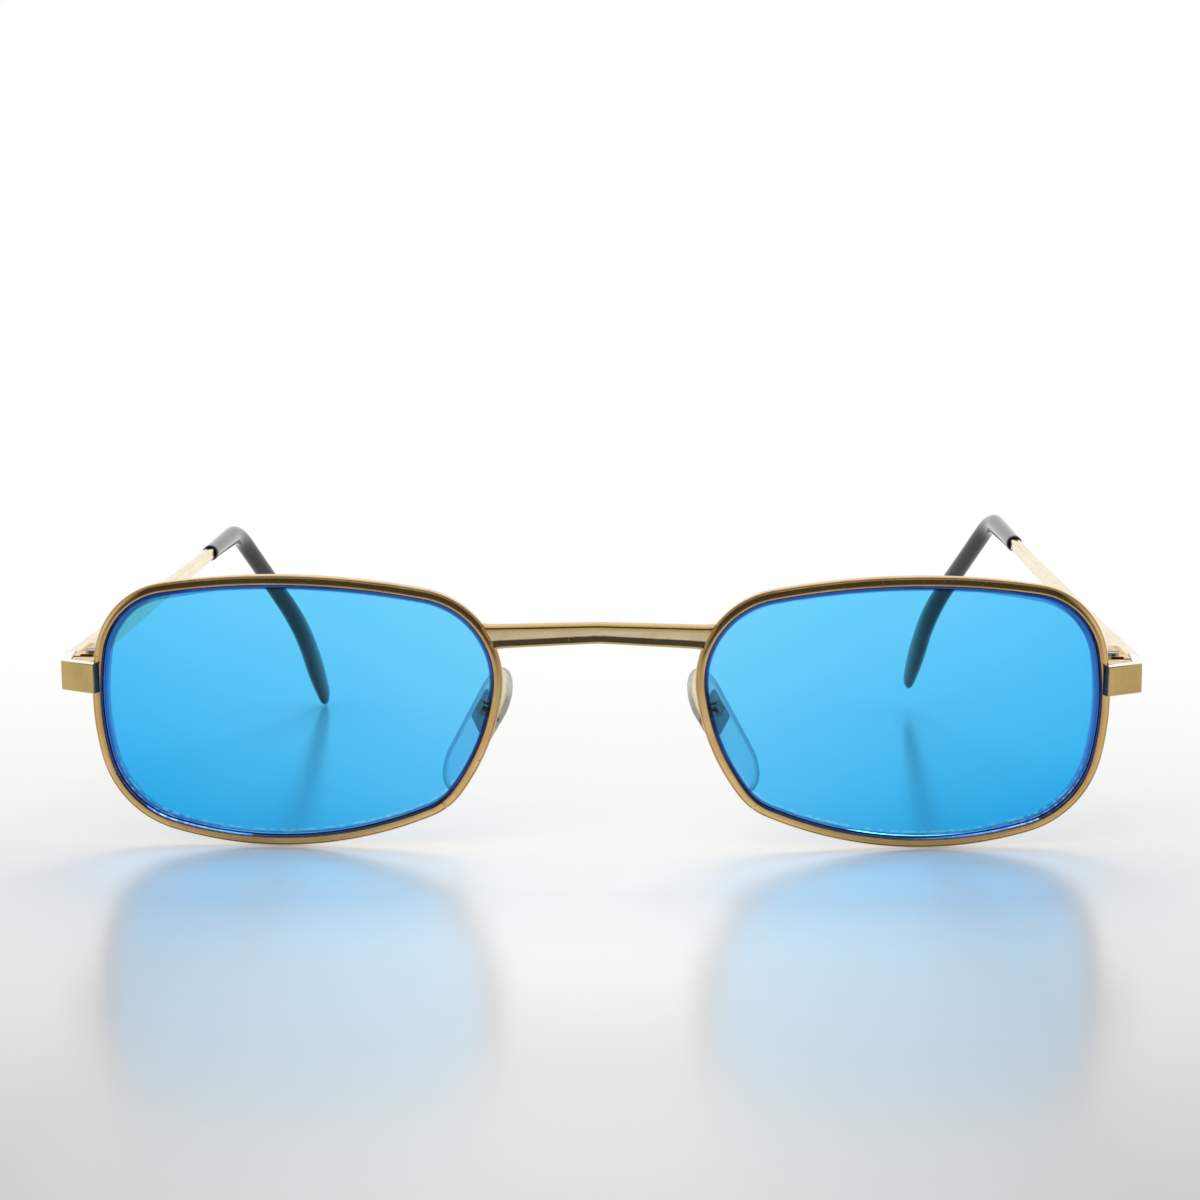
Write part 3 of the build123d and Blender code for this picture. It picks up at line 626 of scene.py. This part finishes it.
# Temple tips: a glossy black plastic sleeve pushed over the bent end of each temple, round at its mouth and a
# flat oval at its end. Its oval section is carried along the bent line, and the mouth has a rolled lip.
# How long the bend's two straight runs are, and how far they fall and turn inwards.
upper_drop, lower_drop = (25.8, radians(45.3), radians(24.4)), (21.4, radians(47.6), radians(8.5))
bend_radii = (8, 70)
tip_cover, end_margin = 3, 0.06
tip_shares = np.array((0, 0.1, 0.2, 0.26, 0.32, 0.42, 0.56, 0.72, 0.88, 0.96))
tip_widths = np.array((2.3, 2.4, 2.5, 2.5, 2.5, 2.5, 2.5, 2.5, 2.4, 1.9))
tip_heights = np.array((2.3, 2.6, 2.8, 2.8, 2.8, 2.8, 3.2, 4.3, 4.7, 3.8))
# The rolled lip at the mouth, as shares of the mouth's size and of the sleeve's length.
lip_sizes, lip_shares = np.array((0.62, 0.70, 0.86, 0.96)), np.array((0.012, 0.002, 0.0, 0.001))

plastic, plastic_shader, start = finish_of("black_plastic", coat_roughness=0.08)
place = start.place()
cloud, skin_grain = start.noise(place, 0.12, 4), start.noise(place, 2.2, 3)
plastic_colour = cloud.between(0.3, 0.7).mixed((0.005, 0.005, 0.005, 1), (0.018, 0.014, 0.012, 1))
plastic_bump = start.bump(skin_grain + cloud * 2, 0.2, 0.00002)
plastic_rough = skin_grain * 0.12 + 0.1
# Handling has dulled the falling part, from about 30 mm behind the middle of the glasses.
shine = 1 - place.axis(1).between(28, 34) * 0.9
fed(plastic_shader, {"Base Color": plastic_colour, "Roughness": plastic_rough})
fed(plastic_shader, {"Coat Weight": shine, "Normal": plastic_bump})


def falling(drop, lift):
    """A straight run of the drop's length, back, down and inwards by its angles, with the lift taken off."""
    length, down, inward = drop
    down = down - lift
    return np.array((-sin(inward) * cos(down), cos(inward) * cos(down), -sin(down))) * length


def bent_line(points, radii):
    """Points along a line whose inner corners are arcs: from each corner's tangent point, the sine of the
    angle along the old direction and one less its cosine along the square to it, times the radius."""
    pieces = [points[:1]]
    for corner, before, after, radius in zip(points[1:-1], points[:-2], points[2:], radii):
        ahead, onward = unit(corner - before), unit(after - corner)
        turn = np.arccos(ahead @ onward)
        square = unit(onward - ahead * (ahead @ onward))
        angle = np.linspace(0, turn, 60)[:, None]
        start = corner - ahead * radius * tan(turn / 2)
        pieces.append(start + radius * (np.sin(angle) * ahead + (1 - np.cos(angle)) * square))
    return np.concatenate((*pieces, points[-1:]))


def carried(line, distance, section, outward):
    """The sections carried along the line, square to it, with X as nearly outward as it can be and Y up."""
    marks = np.concatenate(((0,), np.cumsum(np.linalg.norm(np.diff(line, axis=0), axis=1))))
    spots, nearby = (
        np.stack([np.interp(distance + shift, marks, line[:, k]) for k in range(3)], -1)
        for shift in (-0.05, 0.05)
    )
    ahead = unit(nearby - spots)
    aside = unit(outward - ahead * (ahead @ outward)[:, None])
    above = np.cross(ahead, aside)
    middle = (spots + nearby) / 2
    return middle[:, None] + section[..., :1] * aside[:, None] + section[..., 1:] * above[:, None]


def through(share, shares, values):
    """A smooth curve through the values: between two of them a cubic with the mean slopes at both."""
    slopes = np.gradient(values, shares)
    k = np.clip(np.searchsorted(shares, share, side="right") - 1, 0, len(shares) - 2)
    step = shares[k + 1] - shares[k]
    t = (share - shares[k]) / step
    ends = values[k] * (1 + 2 * t) * (1 - t) ** 2 + values[k + 1] * t**2 * (3 - 2 * t)
    return ends + step * (slopes[k] * t * (1 - t) ** 2 - slopes[k + 1] * t**2 * (1 - t))


# How far along the sleeve its sections lie, as shares, closer together over the rounded end.
share = np.concatenate((np.linspace(0.004, 0.9, 110), 0.9 + 0.1 * np.sin(np.linspace(0.05, 1, 18) * pi / 2)))
dome_start, dome_length = 0.955, 0.046
dome = np.sqrt(1 - np.clip((share - dome_start) / dome_length, 0, 1) ** 2)
size = np.stack([through(share, tip_shares, sizes) for sizes in (tip_widths, tip_heights)], 1)
size = size * dome[:, None] / 2
size = np.concatenate((lip_sizes[:, None] * size[0], size))
share = np.concatenate((lip_shares, share))
round_angle = np.linspace(0, 2 * pi, 41)[:-1]
oval = np.stack((np.cos(round_angle), np.sin(round_angle)), 1)
mouth = strip_length - tip_cover
for side, sign in sides:
    out, back, up = temple_axes(side)
    middle = pin_place + out * (outer_face - temple_thickness / 2)
    butt, bend = middle + back * (butt_gap / 2), middle + back * bend_distance
    ear = bend + falling(upper_drop, lifts[side])
    line = bent_line(np.stack((butt, bend, ear, ear + falling(lower_drop, lifts[side]))), bend_radii)
    length = np.linalg.norm(np.diff(line, axis=0), axis=1).sum()
    distance = mouth + share * (length - mouth - end_margin)
    sleeve_grid = carried(line, distance, oval * size[:, None], np.array((1, 0, 0)))
    sleeve = skin(f"{side}_tip_sleeve", sleeve_grid * (sign, 1, 1), plastic, crease=60, even=False)
    fitted(sleeve, f"{side}_temple_arm", f"{side}_temple_tip")

# Pad inserts: a thin nickel silver plate moulded into each nose pad, with a lug behind it that sits in the
# box of the pad arm and turns on the small screw.
nickel, nickel_shader, start = finish_of("nickel_plate", metallic=1)
rolled = start.noise(start.place(), 4, 4, (1, 0.2, 1))
nickel_colour = rolled.between(0.3, 0.7).mixed((0.36, 0.34, 0.38, 1), (0.24, 0.23, 0.26, 1))
fed(nickel_shader, {"Base Color": nickel_colour, "Roughness": rolled * 0.2 + 0.25})
for side, _ in sides:
    refined(f"{side}_pad_insert", f"{side}_pad_plate", f"{side}_pad_unit", nickel, 0.04)

# Nose pads: soft clear plastic, slightly yellowed, broader at the top, with a full round edge. Each is a
# pillow of rings, from the middle of its back over the edge to the middle of its front.
pad_middle = np.array((15.85, 7.9, -4.6))
pad_frontal, pad_rake, pad_splay = radians(28), radians(8.5), radians(64)
pad_length, pad_thickness = 17.2, 1.6
pad_top, pad_bottom, pad_margin_share = 3.9, 3.3, 0.985
pad_bulges, pad_rounds = np.array((0.16, 0.05, 0.1, 0.05)), np.array((3.75, 3.75, 3.15, 3.15))
pad_down = np.array((sin(pad_frontal) * cos(pad_rake), sin(pad_rake), -cos(pad_frontal) * cos(pad_rake)))
splay = np.array((cos(pad_splay), sin(pad_splay), 0))
pad_aside = unit(splay - pad_down * (splay @ pad_down))
pad_axes = np.stack((pad_aside, pad_down, np.cross(pad_aside, pad_down)))

half = pad_length / 2
pad_corners = np.array(((-pad_top, half), (pad_top, half), (pad_bottom, -half), (-pad_bottom, -half)))
pad_outline = Outline(pad_corners * pad_margin_share, pad_bulges, pad_rounds)
pad_trip = np.linspace(0, pad_outline.marks[-1], 121)[:-1]
pad_edge = pad_outline.at(pad_trip) * (1, -1)
# The rings' size is a power of the cosine and their level a power of the sine, which gives the pillow flat
# faces and a full round edge.
swing = np.linspace(-0.97, 0.97, 40) * pi / 2
share = np.cos(swing) ** 0.32
level = pad_thickness / 2 * (1 + np.sign(swing) * np.abs(np.sin(swing)) ** 0.75)
rings = pad_edge * share[:, None, None]
pad_local = np.concatenate((rings, np.broadcast_to(level[:, None, None], (*rings.shape[:2], 1))), -1)
pad_grid = pad_middle + pad_local @ pad_axes
pad_edge_at = np.linalg.norm(np.diff(pad_grid, axis=0), axis=2).mean(1).sum() / 2

clear, clear_shader, start = finish_of("clear_pad_plastic", transmission_weight=0.85, ior=1.12)
place = start.place()
haze, ripple = start.noise(place, 0.5, 4), start.noise(place, 1.6, 2)
# It has yellowed on the side towards the nose. Its outline is painted light: pale there as a painted
# highlight on its round edge, and dark blue elsewhere as painted shade of the dark room that the edge
# refracts.
aged = (1 - abs(place.axis(0)).between(12.6, 14.2)) * (haze.between(0.2, 0.6) * 0.3 + 0.7)
painted_edge_mask = 1 - abs(start.grain().axis(0) - pad_edge_at).between(0.4, 0.95)
pad_painted_edge_colour = aged.mixed((0.20, 0.26, 0.42, 1), (1, 0.93, 0.70, 1))
clear_tint = aged.mixed((0.97, 0.98, 1, 1), (0.90, 0.82, 0.58, 1))
clear_tint = (painted_edge_mask * 0.85).mixed(clear_tint, pad_painted_edge_colour)
clear_bump = start.bump(ripple, 0.15, 0.00002)
fed(clear_shader, {"Base Color": clear_tint, "Roughness": haze * 0.15 + 0.12, "Normal": clear_bump})
tinting_shadow(start, clear_shader, (0.92, 0.90, 0.82, 1))
for side, sign in sides:
    pad = skin(f"{side}_pad_cushion", pad_grid * (sign, 1, 1), clear, crease=80, even=False)
    fitted(pad, f"{side}_pad_unit", f"{side}_nose_pad")

# Pad arms: a bent wire of the frame's metal, from the back of each eyewire to a small box that holds the
# lug. Its gold is painted nearly black as painted shade, for the arm sits in shade behind the lens.
painted_shade_gold = satin_gold("painted_shade_gold", (0.24, 0.19, 0.19, 1), (0.16, 0.13, 0.13, 1), 0.00002, 0.2)
for side, _ in sides:
    refined(f"{side}_pad_arm", f"{side}_pad_wire", "front_frame", painted_shade_gold, 0)

# Studio: a pale glossy table top, a white background, soft light from behind and above, and a darker room in
# front of the glasses that their metal mirrors. The camera stands low in front, with a long lens.
# The table top is 12 m wide, from 3 m in front of the glasses to 14 m behind them.
floor_mesh = bpy.data.meshes.new("table_top")
floor_mesh.from_pydata([(-6, -3, 0), (6, -3, 0), (6, 14, 0), (-6, 14, 0)], [], [(0, 1, 2, 3)])
floor = bpy.data.objects.new("table_top", floor_mesh)
bpy.context.scene.collection.objects.link(floor)
table_white, table_shader, start = finish_of("table_white", roughness=0.2, ior=1.8)
place = start.node("TexCoord", {}, output="Object")
x, y = place.axis(0), place.axis(1)
ray_kinds = ("Is Camera Ray", "Is Transmission Ray", "Is Glossy Ray")
seen, through_glass, reflected = (start.node("LightPath", {}, output=kind) for kind in ray_kinds)
painted_shade_grey, far_pale = (0.62, 0.61, 0.59, 1), (0.93, 0.93, 0.92, 1)
painted_side_shade_grey, painted_dark_room = (0.18, 0.18, 0.17, 1), (0.06, 0.05, 0.04, 1)
# Paler towards the back, greyer in front of the lenses and darker at the sides, as painted shade where the
# light falls off; and for reflections only, a painted dark room on the near part, which the metal mirrors.
shade = y.between(-0.25, -0.12)
beside = (x * x).between(0.0001, 0.002) * (1 - y.between(-0.12, 0.04))
beside = beside * (0.26 + (1 - y.between(-0.22, -0.16)) * 0.14)
painted_dark_mask = reflected * (1 - y.between(-0.42, -0.17)) * 0.85
table_colour = beside.mixed(shade.mixed(painted_shade_grey, far_pale), painted_side_shade_grey)
fed(table_shader, {"Base Color": painted_dark_mask.mixed(table_colour, painted_dark_room)})
# Far from the glasses the table turns into the white background.
away = (x * x + y * y) ** 0.5
distant = away.between(0.25, 1.5) * (seen + through_glass + reflected * y.between(0, 0.25))
far_white = start.node("Emission", {"Color": (1, 1, 1, 1), "Strength": 1})
shown(start, distant, table_shader, far_white)
floor_mesh.materials.append(table_white)

world = bpy.data.worlds.new("white_room")
bpy.context.scene.world = world
world.use_nodes = True
start = Tone(world.node_tree)
direction = start.node("TexCoord", {}, output="Generated")
aside, y, z = abs(direction.axis(0)), direction.axis(1), direction.axis(2)
seen, through_glass, reflected = (start.node("LightPath", {}, output=kind) for kind in ray_kinds)
# Metal mirrors a dark wall in front with a paler ceiling, and slightly darker walls at the sides. Everything
# else gets even light, and the camera sees white.
in_front = (0 - y).between(0, 0.4) * (1 - aside.between(0.72, 0.95))
high = z.between(0.74, 0.92)
room = 1 - in_front * (1 - high) * 0.94 - in_front * high * 0.3 - aside.between(0.6, 0.9) * 0.14
mirrored = start.math("MAXIMUM", through_glass, reflected)
level = seen + (1 - seen) * (mirrored * room + (1 - mirrored) * 0.64)
background = world.node_tree.nodes["Background"]
background.inputs["Color"].default_value = (1, 1, 1, 1)
world.node_tree.links.new(level.socket, background.inputs["Strength"])


def soft_lamp(name, place, target, size, power):
    """A square lamp of that size in metres, turned to its target."""
    data = bpy.data.lights.new(name, "AREA")
    data.size, data.energy = size, power
    lamp = bpy.data.objects.new(name, data)
    lamp.location = place
    away = np.array(place, float) - np.array(target, float)
    turned = np.arctan2(away[1], away[0]) + pi / 2
    lamp.rotation_euler = (np.arctan2(np.hypot(away[0], away[1]), away[2]), 0, turned)
    lamp.visible_glossy = False
    bpy.context.scene.collection.objects.link(lamp)


soft_lamp("back_light", (0.1, 1.1, 0.9), (0, -0.1, 0), 0.6, 10)
soft_lamp("front_light", (-0.5, -1.2, 0.8), (0, -0.06, 0.02), 0.8, 3.5)

camera_data = bpy.data.cameras.new("camera")
camera_data.lens, camera_data.sensor_width = 100, 36
camera_data.clip_start, camera_data.clip_end = 0.01, 60
camera = bpy.data.objects.new("camera", camera_data)
bpy.context.scene.collection.objects.link(camera)
camera.location = (0.0087, -0.4635, 0.07255)
camera.rotation_euler = (radians(90 - 5.99), 0, radians(1.234))
bpy.context.scene.camera = camera
bpy.context.scene.view_settings.view_transform = "Standard"
